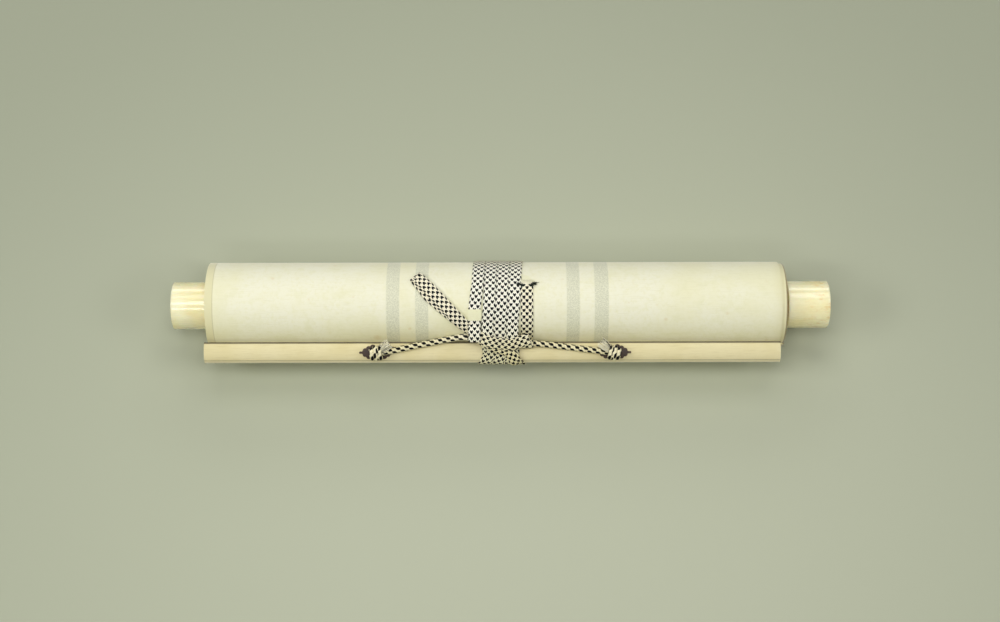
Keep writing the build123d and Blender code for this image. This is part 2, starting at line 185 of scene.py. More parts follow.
# Hanging cord: a round braid. Each point of its route is given by x, its distance in front of the
# seam between roll and stave, and its height above the rod's axis
cord_diameter = 0.0044
cord_columns = 6
cord_stitch = 0.002
cord_rise = 0.3
cord_relief = 0.0002
cord_dip = 0.6
rows_round_stitch = 9
steps_round_column = 6
spline_steps = 24
cord_route = (
    (-0.0825, 0.0076, 0.0096),
    (-0.0730, 0.0060, 0.0092),
    (-0.0607, 0.0032, 0.0100),
    (-0.0470, 0.0008, 0.0106),
    (-0.0355, -0.0007, 0.0136),
    (-0.0260, -0.0012, 0.0172),
    (-0.0185, -0.0004, 0.0158),
    (-0.0130, 0.0001, 0.0129),
    (-0.0070, 0.0004, 0.0120),
    (0.0010, 0.0006, 0.0108),
    (0.0080, 0.0009, 0.0109),
    (0.0145, 0.0013, 0.0114),
    (0.0220, 0.0017, 0.0113),
    (0.0300, 0.0020, 0.0103),
    (0.0400, 0.0032, 0.0099),
    (0.0515, 0.0046, 0.0097),
    (0.0635, 0.0061, 0.0094),
    (0.0748, 0.0076, 0.0096),
)

# The cord presses the strap's start aside within this reach along the roll
press_middle = -0.016
press_reach = 0.011
press_gap = 0.0001

# Knots: the cord's turns round each eye
knot_diameter = 0.0033
knot_columns = 4
knot_turns = 2.4
knot_phase = 0.1
knot_points = 60
knot_radius = 0.0039
knot_end_radius = 0.0031
knot_half_width = 0.0033
knot_clearance = 0.00015

# Loose threads, and the tufts that come out of the knots
thread_rows = 7
thread_sides = 5
thread_radius = 0.0002
tip_thinning = 0.4
thread_skew = (0.31, 0.47, -0.83)
tuft_angle = radians(38.0)
tuft_rise = radians(12.0)
tuft_start = 0.0026
tuft_end = 0.013
tuft_lengths = (0.72, 1.0)
tuft_root_spread = 0.0014
tuft_spread = 0.0037
tuft_bow = 0.0006
tuft_tangle = 0.0007
pale_count = 46
dark_count = 6
dark_spread = 1.1 * tuft_spread
draws = np.random.RandomState(7)

# Fringe: lengths in degrees up the roll, lifts above the paper, and places across the tail
fringe_pale = 64
fringe_dark = 24
fringe_breadth = 0.48
fringe_root_angle = 1.0
fringe_root = 0.0007
fringe_root_spread = 0.0003
fringe_bow = 0.0006
fringe_lengths = (3.0, 8.0)
fringe_flare = (1.0, 1.5)
fringe_tip_lifts = (0.0002, 0.0014)
corner_places = (0.22, 0.46)
corner_reach = (0.0018, 0.0048)
corner_root = 3.5
corner_bend = -0.5
corner_bend_share = 0.4
corner_bow = 0.0009
corner_turns = (-3.5, 1.0)
corner_tip_lifts = (0.0005, 0.0016)

# Lamps: name, elevation, degrees to the right, distance, share, size along X and size across
lamps = (
    ("overhead_lamp", 80.0, -3.0, 1.2, 0.34, 0.8, 0.4),
    ("left_lamp", 75.0, -45.0, 1.4, 0.26, 0.6, 0.35),
    ("right_lamp", 75.0, 45.0, 1.4, 0.17, 0.6, 0.35),
    ("window_lamp", 116.0, 3.0, 2.0, 0.18, 1.4, 0.8),
    ("rear_lamp", 150.0, 0.0, 2.0, 0.15, 1.4, 0.5),
    ("front_lamp", 53.0, -9.0, 2.0, 0.12, 1.0, 0.12),
)
sky_colour = (1.0, 1.0, 0.97, 1.0)
sky_share = 0.1
room_share = 0.9

# Floor: a painted pool of light, palest at one place, and an even backdrop far from there
floor_half = 4.0
floor_palest = (0.05, -0.2, 0.0)
backdrop_from = 0.42
backdrop_to = 0.9

# Camera: it looks down from the front
camera_elevation = 70.0
camera_distance = 1.2
camera_lens = 61.36
camera_roll = 0.12
view_x = -0.0004
view_drop = 0.0042


def at(x, forward, up):
    """A place given from the rod's axis."""
    return np.array((x, axis_y - forward, axis_z + up))


def facing(angle):
    """The direction at this angle."""
    return np.array((0.0, -sin(radians(angle)), cos(radians(angle))))


def unit(vectors):
    """Vectors of length one."""
    return vectors / np.linalg.norm(vectors, axis=-1, keepdims=True)


def colour(red, green, blue):
    """A colour given as it looks on a screen, from 0 to 255, made linear."""
    parts = [value / 255 for value in (red, green, blue)]
    return (*[part / 12.92 if part <= 0.04045 else ((part + 0.055) / 1.055) ** 2.4 for part in parts], 1.0)


mark_colour = colour(4, 4, 5)
backdrop_colour = colour(167, 171, 149)


class Shader:
    """Nodes of a material or a world, built by short calls. Each input takes a socket or a value.
    Its place is the position in the model's frame."""

    def __init__(self, name, kind=bpy.data.materials):
        self.owner = kind.new(name)
        self.owner.use_nodes = True
        self.tree = self.owner.node_tree
        self.tree.nodes.clear()
        self.place = self.node("ShaderNodeTexCoord").outputs["Object"]

    def node(self, kind, inputs=(), **settings):
        made = self.tree.nodes.new(kind)
        for key, value in settings.items():
            setattr(made, key, value)
        for key, value in dict(inputs).items():
            if isinstance(value, bpy.types.NodeSocket):
                self.tree.links.new(value, made.inputs[key])
            else:
                made.inputs[key].default_value = value
        return made

    def math(self, operation, *values):
        return self.node("ShaderNodeMath", dict(enumerate(values)), operation=operation).outputs[0]

    def times(self, first, second):
        return self.math("MULTIPLY", first, second)

    def plus(self, first, second):
        return self.math("ADD", first, second)

    def minus(self, first, second):
        return self.math("SUBTRACT", first, second)

    def gap(self, first, second):
        """How far apart two values are."""
        return self.math("ABSOLUTE", self.minus(first, second))

    def smooth(self, value, low, high):
        """0 at low, 1 at high, and a soft step between them. Low may be above high."""
        inputs = {"Value": value, "From Min": low, "From Max": high}
        return self.node("ShaderNodeMapRange", inputs, interpolation_type="SMOOTHSTEP").outputs[0]

    def line(self, value, place, edge, core):
        """1 closer than core to the place, 0 further off than edge."""
        return self.smooth(self.gap(value, place), edge, core)

    def mix(self, share, first, second, blend="MIX"):
        inputs = {0: share, 6: first, 7: second}
        return self.node("ShaderNodeMix", inputs, data_type="RGBA", blend_type=blend).outputs[2]

    def tint(self, base, mask, share, tone, blend="MIX"):
        """The base with a share of this tone where the mask is 1."""
        return self.mix(self.times(mask, share), base, tone, blend)

    def parts(self, vector):
        return tuple(self.node("ShaderNodeSeparateXYZ", {0: vector}).outputs)

    def distance(self, middle):
        """How far the place is from this one."""
        inputs = {0: self.place, 1: tuple(middle)}
        return self.node("ShaderNodeVectorMath", inputs, operation="DISTANCE").outputs["Value"]

    def from_line(self, forward, up):
        """Distance from a line along X, given from the rod's axis."""
        _, y, z = self.parts(self.place)
        gaps = self.minus(y, axis_y - forward), self.minus(z, axis_z + up)
        return self.math("SQRT", self.plus(*[self.math("POWER", gap, 2.0) for gap in gaps]))

    def end_facing(self):
        """1 where a surface faces along the roll, 0 where it faces across it."""
        normal = self.node("ShaderNodeNewGeometry").outputs["Normal"]
        return self.math("ABSOLUTE", self.parts(normal)[0])

    def noise(self, scale=1.0, detail=3.0, roughness=0.5, stretch=None, vector=None):
        """Cloudy noise from 0 to 1 over the place or a vector. The stretch is a scale for each axis."""
        vector = self.place if vector is None else vector
        if stretch:
            vector = self.node("ShaderNodeMapping", {"Vector": vector, "Scale": stretch}).outputs[0]
        inputs = {"Vector": vector, "Scale": scale, "Detail": detail, "Roughness": roughness}
        return self.node("ShaderNodeTexNoise", inputs).outputs["Fac"]

    def bump(self, height, distance, strength):
        inputs = {"Height": height, "Distance": distance, "Strength": strength}
        return self.node("ShaderNodeBump", inputs).outputs[0]

    def principled(self, **inputs):
        """A Principled shader; each keyword is an input with _ for a space."""
        named = {key.replace("_", " "): value for key, value in inputs.items()}
        return self.node("ShaderNodeBsdfPrincipled", named).outputs[0]

    def mix_shaders(self, share, first, second):
        return self.node("ShaderNodeMixShader", {0: share, 1: first, 2: second}).outputs[0]

    def output(self, surface, kind="ShaderNodeOutputMaterial"):
        self.node(kind, {"Surface": surface})
        return self.owner

    def finish(self, **inputs):
        """Ends the material with a Principled shader that has these inputs."""
        return self.output(self.principled(**inputs))


# Paper, step by step
def paper_ground(s, broad, mottle, fibre):
    """Cream paper with clouds and fibres."""
    base = s.mix(s.smooth(broad, 0.35, 0.68), colour(243, 241, 215), colour(239, 236, 199))
    base = s.tint(base, s.smooth(mottle, 0.45, 0.75), 0.6, colour(235, 232, 192))
    cloud = s.smooth(s.noise(110.0, roughness=0.6), 0.5, 0.72)
    base = s.tint(base, cloud, 0.5, colour(233, 231, 190))
    return s.tint(base, s.smooth(fibre, 0.52, 0.74), 0.25, colour(214, 208, 166))


def silver_bands(s, x):
    """1 on the four pale silver bands."""
    bands = 0.0
    for low, high in band_edges:
        rise = s.smooth(x, low - band_softness, low + band_softness)
        fall = s.smooth(x, high + band_softness, high - band_softness)
        bands = s.plus(bands, s.times(rise, fall))
    return bands


def with_margins(s, base, x):
    """A yellower margin at each end, with a thin darker line."""
    margin = colour(226, 220, 172)
    base = s.tint(base, s.math("LESS_THAN", x, cover_left), 0.75, margin)
    base = s.tint(base, s.smooth(x, cover_right - margin_softness, rim_x), 0.7, margin)
    base = s.tint(base, s.line(x, cover_left, *margin_line), 0.4, colour(176, 164, 110))
    return s.tint(base, s.line(x, rim_x, *rim_line), 0.75, colour(112, 88, 44))


def with_spots(s, base, mottle):
    """Brown spots with ragged edges at chosen places, and a scatter of small faint ones."""
    ragged = s.times(s.minus(mottle, 0.5), 0.003)
    for x, forward, up, size in fox_spots:
        away = s.plus(s.distance(at(x, forward, up)), ragged)
        base = s.tint(base, s.smooth(away, size, 0.0), 0.45, colour(214, 186, 112))
    cells = s.node("ShaderNodeTexVoronoi", {"Vector": s.place, "Scale": 70.0})
    keep = s.smooth(s.parts(cells.outputs["Color"])[0], 0.80, 0.9)
    spots = s.times(s.smooth(cells.outputs["Distance"], 0.14, 0.02), keep)
    return s.tint(base, spots, 0.28, colour(214, 190, 122))


def sleeve_paper(s, y, z, broad, fibre):
    """The browner paper of the sleeve round the stave, with its glued edge."""
    base = s.mix(s.smooth(broad, 0.35, 0.68), colour(233, 222, 176), colour(226, 213, 160))
    base = s.tint(base, s.smooth(fibre, 0.5, 0.72), 0.4, colour(205, 190, 138))
    edge = s.line(z, axis_z + sleeve_edge_up, 0.0004, 0.0001)
    edge = s.times(edge, s.math("LESS_THAN", y, axis_y - sleeve_edge_from))
    return s.tint(base, edge, 0.55, colour(120, 106, 66))


def with_painted_groove_shade(s, base):
    """Painted shade in the groove between roll and stave."""
    groove_shade_mask = s.smooth(s.from_line(*groove_shade_place), groove_shade_reach, groove_shade_reach / 3)
    return s.tint(base, groove_shade_mask, 0.95, colour(62, 50, 28))


def with_cut_edges(s, base):
    """The turns' cut edges at the roll's ends."""
    layers = s.noise(1800.0, detail=2.0, roughness=0.6)
    tone = s.mix(layers, colour(196, 178, 120), colour(226, 212, 160))
    return s.tint(base, s.smooth(s.end_facing(), 0.6, 0.9), 0.8, tone)


def painted_lower_shade(s):
    """Painted shade mask: 0 on top of the roll, 1 low on roll and stave, where they face away from the
    light.
    """
    return s.smooth(s.parts(s.place)[2], axis_z + lower_shade_from, axis_z + lower_shade_to)


def paper_shader():
    """Aged cream paper with fibres, spots, silver bands and a paler cover sheet, with painted shade low
    down and in the groove.
    """
    s = Shader("aged_paper")
    x, y, z = s.parts(s.place)
    broad = s.noise(26.0, detail=4.0, roughness=0.55)
    mottle = s.noise(420.0, roughness=0.6)
    fibre = s.noise(roughness=0.6, stretch=(90.0, 1900.0, 1900.0))
    grain = s.noise(2600.0, detail=2.0, roughness=0.6)
    bands = silver_bands(s, x)
    base = paper_ground(s, broad, mottle, fibre)
    speckle = s.smooth(s.noise(1500.0, detail=2.0, roughness=0.7), 0.42, 0.6)
    silver = s.mix(speckle, colour(205, 205, 178), colour(230, 230, 203))
    base = s.tint(base, bands, 0.88, silver)
    base = with_margins(s, base, x)
    base = with_spots(s, base, mottle)
    # Painted shade: darker and yellower low on the roll
    base = s.tint(base, painted_lower_shade(s), 0.45, colour(238, 230, 180), "MULTIPLY")
    sleeve = s.math("LESS_THAN", y, axis_y - sleeve_from)
    base = s.mix(sleeve, base, sleeve_paper(s, y, z, broad, fibre))
    base = with_painted_groove_shade(s, base)
    base = with_cut_edges(s, base)
    height = s.plus(s.plus(s.times(fibre, 0.5), s.times(grain, 0.35)), s.times(mottle, 0.6))
    return s.finish(
        Base_Color=base,
        Roughness=s.math("MULTIPLY_ADD", bands, -0.12, 0.72),
        Specular_IOR_Level=0.32,
        Sheen_Weight=0.55,
        Sheen_Roughness=0.5,
        Normal=s.bump(height, distance=0.00006, strength=0.55),
    )


# The other materials
def turning_marks(s):
    """Faint rings left by the lathe on a knob's end face."""
    wave = s.math("SINE", s.times(s.from_line(0.0, 0.0), lathe_ring_density))
    return s.times(s.smooth(s.end_facing(), 0.8, 0.98), s.math("MULTIPLY_ADD", wave, 0.5, 0.5))


def knob_shader():
    """Polished ivory-coloured resin with faint grain, and browner blotches on the right."""
    s = Shader("ivory_resin")
    broad = s.noise(60.0)
    grain = s.noise(detail=4.0, roughness=0.6, stretch=(120.0, 900.0, 900.0))
    blotch = s.noise(detail=4.0, roughness=0.65, stretch=(160.0, 420.0, 420.0))
    base = s.mix(s.smooth(broad, 0.3, 0.7), colour(255, 245, 203), colour(252, 236, 178))
    base = s.tint(base, s.smooth(grain, 0.45, 0.75), 0.22, colour(246, 222, 158))
    patch = s.times(s.smooth(blotch, 0.5, 0.66), s.smooth(s.parts(s.place)[0], blotch_from, blotch_to))
    base = s.tint(base, patch, 0.45, colour(232, 184, 100))
    base = s.tint(base, s.smooth(blotch, 0.58, 0.74), 0.22, colour(240, 214, 150))
    base = s.tint(base, turning_marks(s), 0.08, colour(196, 160, 96))
    height = s.plus(grain, s.times(broad, 2.0))
    return s.finish(
        Base_Color=base,
        Roughness=s.math("MULTIPLY_ADD", grain, 0.1, 0.22),
        IOR=1.53,
        Subsurface_Weight=0.45,
        Subsurface_Scale=0.012,
        Subsurface_Radius=(1.0, 0.8, 0.45),
        Coat_Weight=1.0,
        Coat_Roughness=0.03,
        Normal=s.bump(height, distance=0.00001, strength=0.3),
    )


def braid_marks(s, uv, flat, half_width, half_height):
    """1 on the dark marks, and how far each place is from the middle of its stitch."""
    half_cycle = stitches_per_mark / 2
    wobble = s.times(s.minus(s.noise(450.0, detail=2.0), 0.5), 0.5)
    across, along, _ = s.parts(uv)
    column = s.math("ROUND", across)
    offset = s.minus(across, column)
    away = s.math("ABSOLUTE", offset)
    lean = s.times(away, 2 * stitch_rise) if flat else s.times(offset, 2 * cord_rise)
    level = s.minus(s.plus(along, wobble), lean)
    level = s.plus(level, s.times(s.math("FLOORED_MODULO", column, 2.0), half_cycle))
    off_middle = s.gap(level, s.math("ROUND", level))
    cycle = s.math("FLOORED_MODULO", s.plus(level, half_cycle), stitches_per_mark)
    from_mark = s.gap(cycle, half_cycle)
    wide = s.math("POWER", s.math("DIVIDE", away, half_width), 3.0)
    tall = s.math("POWER", s.math("DIVIDE", from_mark, half_height), 3.0)
    return s.smooth(s.plus(wide, tall), 1.1, 0.9), off_middle


def braid_shader(name, pale, half_width, half_height, flat=True):
    """A braid on UV in columns and stitches. A mark's half width is in columns, its half height in
    stitches. A flat braid's stitches lean both ways from a column's middle, a round one's one way."""
    s = Shader(name)
    uv = s.node("ShaderNodeUVMap", uv_map="braid").outputs[0]
    marks, off_middle = braid_marks(s, uv, flat, half_width, half_height)
    thread = s.noise(detail=2.0, roughness=0.6, stretch=(26.0, 3.0, 1.0), vector=uv)
    base = s.tint(pale, s.noise(900.0, detail=2.0), 0.5, colour(236, 231, 208))
    # Painted shade in the grooves between stitches
    base = s.tint(base, s.smooth(off_middle, 0.34, 0.5), 0.4, colour(190, 178, 140))
    # Painted shade: darker and yellower low on roll and stave
    base = s.tint(base, painted_lower_shade(s), 0.9, colour(237, 234, 205), "MULTIPLY")
    return s.finish(
        Base_Color=s.mix(marks, base, mark_colour),
        Roughness=0.7,
        Specular_IOR_Level=0.1,
        Normal=s.bump(thread, distance=0.00008, strength=0.5),
    )


def thread_shader(name, tone):
    """Loose silk threads of one colour, slightly uneven."""
    s = Shader(name)
    shade = s.noise(1400.0, detail=2.0)
    fine = s.noise(3000.0, detail=2.0)
    return s.finish(
        Base_Color=s.tint(tone, shade, 0.6, colour(226, 216, 184), "MULTIPLY"),
        Roughness=0.6,
        Specular_IOR_Level=0.2,
        Normal=s.bump(fine, distance=0.00003, strength=0.4),
    )


def bronze_shader():
    """Dark patinated bronze, worn brighter on its raised edges."""
    s = Shader("dark_bronze")
    patina = s.noise(700.0, detail=4.0, roughness=0.6)
    fine = s.noise(3200.0, detail=2.0, roughness=0.6)
    worn = s.smooth(s.node("ShaderNodeNewGeometry").outputs["Pointiness"], 0.52, 0.62)
    base = s.mix(s.smooth(patina, 0.35, 0.7), colour(44, 33, 27), colour(64, 48, 36))
    height = s.plus(patina, s.times(fine, 0.4))
    return s.finish(
        Base_Color=s.tint(base, worn, 0.4, colour(104, 82, 56)),
        Metallic=0.4,
        Roughness=s.math("MULTIPLY_ADD", patina, 0.3, 0.4),
        Normal=s.bump(height, distance=0.00012, strength=0.6),
    )


def wood_shader(name, pale, dark):
    """Softwood with year rings across the grain."""
    s = Shader(name)
    drift = s.times(s.noise(stretch=(8.0, 60.0, 60.0)), 0.006)
    height = s.plus(s.parts(s.place)[2], drift)
    rings = s.math("SINE", s.times(height, year_ring_density))
    pores = s.noise(stretch=(150.0, 2600.0, 2600.0))
    base = s.mix(s.math("MULTIPLY_ADD", rings, 0.3, 0.4), pale, dark)
    return s.finish(
        Base_Color=s.tint(base, s.smooth(pores, 0.55, 0.75), 0.4, colour(110, 78, 44)),
        Roughness=0.7,
        Normal=s.bump(pores, distance=0.00008, strength=0.5),
    )


def band_shader():
    """Smooth cream paper of the band round the strap."""
    s = Shader("band_paper")
    fibre = s.noise(roughness=0.6, stretch=(700.0, 2200.0, 2200.0))
    base = s.mix(s.noise(220.0, detail=2.0), colour(243, 242, 206), colour(236, 233, 192))
    return s.finish(
        Base_Color=s.tint(base, s.smooth(fibre, 0.5, 0.75), 0.3, colour(202, 192, 148)),
        Roughness=0.6,
        Specular_IOR_Level=0.35,
        Normal=s.bump(fibre, distance=0.00005, strength=0.5),
    )


def floor_shader():
    """A pale floor with a painted pool of light round one place, that turns into the backdrop's even
    colour.
    """
    s = Shader("floor")
    away = s.distance(floor_palest)
    base = s.mix(s.noise(3.0, detail=2.0), colour(185, 189, 165), colour(188, 192, 169))
    # Painted pool of light: the floor darkens away from its palest place
    base = s.mix(s.smooth(away, 0.05, 0.75), base, colour(164, 169, 146))
    plain = s.principled(Base_Color=base, Roughness=0.85, Specular_IOR_Level=0.2)
    even = s.node("ShaderNodeEmission", {"Color": backdrop_colour}).outputs[0]
    rays = s.node("ShaderNodeLightPath").outputs
    seen = s.math("MAXIMUM", rays["Is Camera Ray"], rays["Is Glossy Ray"])
    share = s.times(s.smooth(away, backdrop_from, backdrop_to), seen)
    return s.output(s.mix_shaders(share, plain, even))


# Meshes
def add_object(name, data):
    """An object in the scene, made of a mesh, lamp or camera."""
    made = bpy.data.objects.new(name, data)
    bpy.context.scene.collection.objects.link(made)
    return made


def add_piece(name, points, faces, material, uv=None):
    """A mesh piece that rides on the scroll, with UV for each corner of each face."""
    mesh = bpy.data.meshes.new(name)
    mesh.from_pydata(points, [], faces)
    mesh.polygons.foreach_set("use_smooth", [True] * len(mesh.polygons))
    if uv is not None:
        mesh.uv_layers.new(name="braid").data.foreach_set("uv", uv.ravel())
    mesh.materials.append(material)
    piece = add_object(name, mesh)
    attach(piece, "root")
    return piece


def ring_faces(rows, ring):
    """Quads between rings of points, each ring closed, and one face at each end."""
    row = np.arange(rows - 1)[:, None] * ring
    here = np.arange(ring)
    after = (here + 1) % ring
    quads = np.stack([row + here, row + after, row + ring + after, row + ring + here], axis=-1)
    faces = quads.reshape(-1, 4).tolist()
    faces.append(list(range(ring))[::-1])
    faces.append(list(range((rows - 1) * ring, rows * ring)))
    return faces


def lengths_along(points):
    """How far along a line each of its points is."""
    return np.concatenate([[0.0], np.cumsum(np.linalg.norm(np.diff(points, axis=0), axis=1))])


def smooth_path(points, carried, spacing):
    """A smooth curve through the points, with what they carry, resampled at an even spacing."""
    points = np.asarray(points, float)
    carried = np.asarray(carried, float)
    reach = lengths_along(points)
    slopes = np.gradient(points, reach, axis=0)
    fine = np.linspace(0.0, reach[-1], int(reach[-1] / spacing) * 3)
    index = np.clip(np.searchsorted(reach, fine, side="right") - 1, 0, len(points) - 2)
    span = (reach[index + 1] - reach[index])[:, None]
    t = (fine - reach[index])[:, None] / span
    start, end = points[index], points[index + 1]
    curve = (2 * t**3 - 3 * t**2 + 1) * start + (t**3 - 2 * t**2 + t) * span * slopes[index]
    curve += (3 * t**2 - 2 * t**3) * end + (t**3 - t**2) * span * slopes[index + 1]
    blend = t * t * (3 - 2 * t)
    between = carried[index] * (1 - blend) + carried[index + 1] * blend
    length = lengths_along(curve)
    even = np.linspace(0.0, length[-1], round(length[-1] / spacing) + 1)
    curve = np.stack([np.interp(even, length, curve[:, k]) for k in range(3)], axis=1)
    between = np.stack([np.interp(even, length, column) for column in between.T], axis=1)
    return curve, between, even


# Stations of the strap: x, forward, up and the angle that it faces
def ellipse_reach(angle):
    """How far the stave's outline reaches from its middle in this direction."""
    return sqrt((stave_depth * sin(radians(angle))) ** 2 + (stave_half_height * cos(radians(angle))) ** 2)


def stave_point(angle, lift=0.0):
    """Forward and up of the place where the stave's paper faces this way."""
    reach = ellipse_reach(angle)
    forward = stave_depth**2 * sin(radians(angle)) / reach + lift * sin(radians(angle))
    up = stave_half_height**2 * cos(radians(angle)) / reach + lift * cos(radians(angle))
    return roll_radius + forward, up


def roll_point(angle, lift=0.0):
    """Forward and up of the place where the roll's outermost turn faces this way."""
    upper = cos(radians(angle)) >= 0
    radius = upper_radius if upper else lower_radius
    shift = -centre_shift if upper else centre_shift
    up = (radius + lift) * cos(radians(angle))
    return shift + (radius + lift) * sin(radians(angle)), max(up, flat_depth - radius - lift)


def bridge_angle(shift, radius):
    """The direction in which a straight line lies on both the roll and the stave."""
    low, high = 0.0, 90.0
    while high - low > 0.001:
        middle = (low + high) / 2
        reach = shift * sin(radians(middle)) + radius
        if reach > roll_radius * sin(radians(middle)) + ellipse_reach(middle):
            low = middle
        else:
            high = middle
    return low


upper_bridge = bridge_angle(-centre_shift, upper_radius)
lower_bridge = 180 - bridge_angle(centre_shift, lower_radius)
bridge_start = roll_point(upper_bridge)
bridge_end = stave_point(upper_bridge)


def on_roll(x, angle, lift=strap_lift):
    """A station on the roll, which faces straight down on the flat under it."""
    past_bottom = angle % 360 - 180
    steepness = min(max((abs(past_bottom) - flat_angle) / flat_blend + 0.5, 0.0), 1.0)
    return (x, *roll_point(angle, lift), angle - past_bottom * (1 - steepness))


def on_stave(x, angle, lift=strap_lift):
    """A station on the sleeve round the stave."""
    return (x, *stave_point(angle, lift), angle)


def on_bridge(x, share, lift):
    """A station at a share of the straight stretch from the roll down to the stave."""
    lean = radians(upper_bridge)
    forward, up = [start + share * (end - start) for start, end in zip(bridge_start, bridge_end)]
    return (x, forward + lift * sin(lean), up + lift * cos(lean), upper_bridge)


def round_cord(x, angle):
    """A station where the strap passes over the hanging cord or turns round it."""
    xs, ahead, heights = zip(*cord_route)
    forward, up = roll_radius + np.interp(x, xs, ahead), np.interp(x, xs, heights)
    lift = cord_diameter / 2 + strap_ease + strap_lift
    return (x, forward + lift * sin(radians(angle)), up + lift * cos(radians(angle)), angle)


def strap_x(angle):
    """The strap's place along the roll as its angle runs down."""
    x = strap_start_x + strap_pitch * (band_from - angle) / 360
    past_front = (angle - sway_middle) % 360
    if past_front < 90 or past_front > 270:
        x -= strap_sway * cos(radians(past_front)) ** 2
    return x


def even_angles(stops, longest):
    """Angles from the first stop to the last, at even steps between each two of them."""
    angles = [stops[0]]
    for start, end in zip(stops, stops[1:]):
        steps = round(abs(end - start) / longest)
        angles += [start + (end - start) * step / steps for step in range(1, steps + 1)]
    return angles


def start_stations():
    """From the looped end over the cord and through the paper band to the top of the roll."""
    stations = [round_cord(strap_end_x, angle) for angle in start_over_cord]
    for angle in np.linspace(band_to, band_from, band_stations):
        stations.append(on_roll(strap_end_x, angle, band_lift))
    for angle in start_on_roll:
        stations.append(on_roll(strap_end_x + start_drift * (band_from - angle), angle))
    return stations


def winding_stations():
    """The start, and then the turns round roll and stave."""
    stations = start_stations()
    for turn in range(turns):
        first = first_turn_angle if turn == 0 else upper_bridge - 360 * turn
        last = lower_bridge - 360 * (turn + 1)
        under = -360 * (turn + 0.5)
        for angle in even_angles((first, under + flat_angle, under - flat_angle, last), roll_step):
            stations.append(on_roll(strap_x(angle), angle))
        end = upper_bridge - 360 * (turn + 1)
        if turn == turns - 1:
            end = sway_middle - 360 * turns
        for angle in np.linspace(last, end, round((last - end) / stave_step) + 1):
            stations.append(on_stave(strap_x(angle), angle))
        if turn < turns - 1:
            stations.append(round_cord(strap_x(end), upper_bridge))
    return stations


def leg_stations(places, lift):
    """Stations on the roll's face from place to place."""
    for start, end in zip(places, places[1:]):
        for share in np.linspace(0, 1, leg_steps, endpoint=False):
            yield on_roll(*[first + share * (last - first) for first, last in zip(start, end)], lift)
    yield on_roll(*places[-1], lift)


def station_path(stations):
    """Points of stations, with the direction that the strap faces at each and its width."""
    points = [at(*station[:3]) for station in stations]
    return points, [(*facing(station[3]), strap_width) for station in stations]


# Flat braid
def stitch_backs(level):
    """Height of the stitches' rounded backs, 1 at their middles."""
    inside = 2 * np.abs(level - np.round(level))
    return np.sqrt(np.clip(1 - stitch_dome * inside**2, 0.0, 1.0))


def braid_section(both_faces):
    """Places round a strap's section: across it, and up or down from its middle."""
    half = strap_width / 2
    face = np.linspace(-half, half, steps_across + 1)
    back = face[::-1] if both_faces else np.linspace(half, -half, points_under)
    back = back[1:-1]
    lifts = [np.clip(1 - np.abs(side / half) ** edge_roundness, 0.0, 1.0) ** 0.5 for side in (face, back)]
    return np.concatenate([face, back]), np.concatenate([lifts[0], -lifts[1]]) * strap_thickness / 2


def braid_surface(points, carried, reach, both_faces):
    """Rings of a flat braid along a path, with UV in columns and stitches."""
    breadth = (carried[:, 3] / strap_width)[:, None, None]
    run = unit(np.gradient(points, axis=0))
    out = unit(carried[:, :3] - run * np.sum(carried[:, :3] * run, axis=1, keepdims=True))
    side = np.cross(run, out)
    places, lift = braid_section(both_faces)
    across = places / column_width
    along = reach / stitch_length
    offset = across - np.round(across)
    shift = np.round(across) % 2 * stitches_per_mark / 2 - 2 * stitch_rise * np.abs(offset)
    level = along[:, None] + shift
    dips = 1 - column_dip * (2 * np.abs(offset)) ** 4 - spine_dip * np.exp(-((offset / spine_width) ** 2))
    relief = stitch_relief * (stitch_backs(level) * dips - 1)
    on_faces = np.abs(lift) > strap_thickness / 4
    depth = lift + np.sign(lift) * relief * on_faces
    rings = points[:, None, :] + side[:, None, :] * places[:, None] * breadth
    rings = rings + out[:, None, :] * depth[..., None]
    return rings, np.stack(np.broadcast_arrays(across, along[:, None]), axis=-1)


def press_aside(places, line, distance):
    """Moves places near the strap's start straight away from a line, to this distance at least."""
    near = np.flatnonzero(np.abs(places[:, 0] - press_middle) < press_reach)
    gaps = places[near][:, None, :] - line
    away = np.linalg.norm(gaps, axis=2)
    nearest = away.argmin(axis=1)
    rows = np.arange(len(near))
    shortest = away[rows, nearest]
    inside = shortest < distance
    outwards = gaps[rows, nearest] / shortest[:, None]
    places[near[inside]] = line[nearest[inside]] + outwards[inside] * distance


def add_braid(name, points, carried, reach, material, both_faces=False):
    """A piece of flat braid, pressed flat by the table, and aside by the cord near its start."""
    rings, uv = braid_surface(points, carried, reach, both_faces)
    rings[..., 2] = np.maximum(rings[..., 2], 0.0)
    flat = rings.reshape(-1, 3)
    press_aside(flat, cord_line, cord_diameter / 2 + press_gap)
    faces = ring_faces(*rings.shape[:2])
    corners = np.fromiter(chain.from_iterable(faces), int)
    return add_piece(name, flat, faces, material, uv.reshape(-1, 2)[corners])


def add_winding():
    """The strap's turns, each a piece of its own. Returns how long they are."""
    points, carried, reach = smooth_path(*station_path(winding_stations()), strap_spacing)
    cuts = np.linspace(0, len(points) - 1, turns + 1).astype(int)
    for turn in range(turns):
        part = slice(cuts[turn], cuts[turn + 1] + 1)
        name = f"strap_turn_{turn + 1}"
        piece = add_braid(name, points[part], carried[part], reach[part], strap_material)
        if turn == 0:
            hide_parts("winding_strap")
    return reach[-1]


def fold_back(start, outward, along_leg):
    """Places and directions round the loop's fold, from the lower leg's end."""
    for turn in np.linspace(0, pi, fold_points):
        place = start + layer / 2 * (sin(turn) * along_leg - cos(turn) * outward)
        yield place, (*(cos(turn) * outward - sin(turn) * along_leg), loop_width)


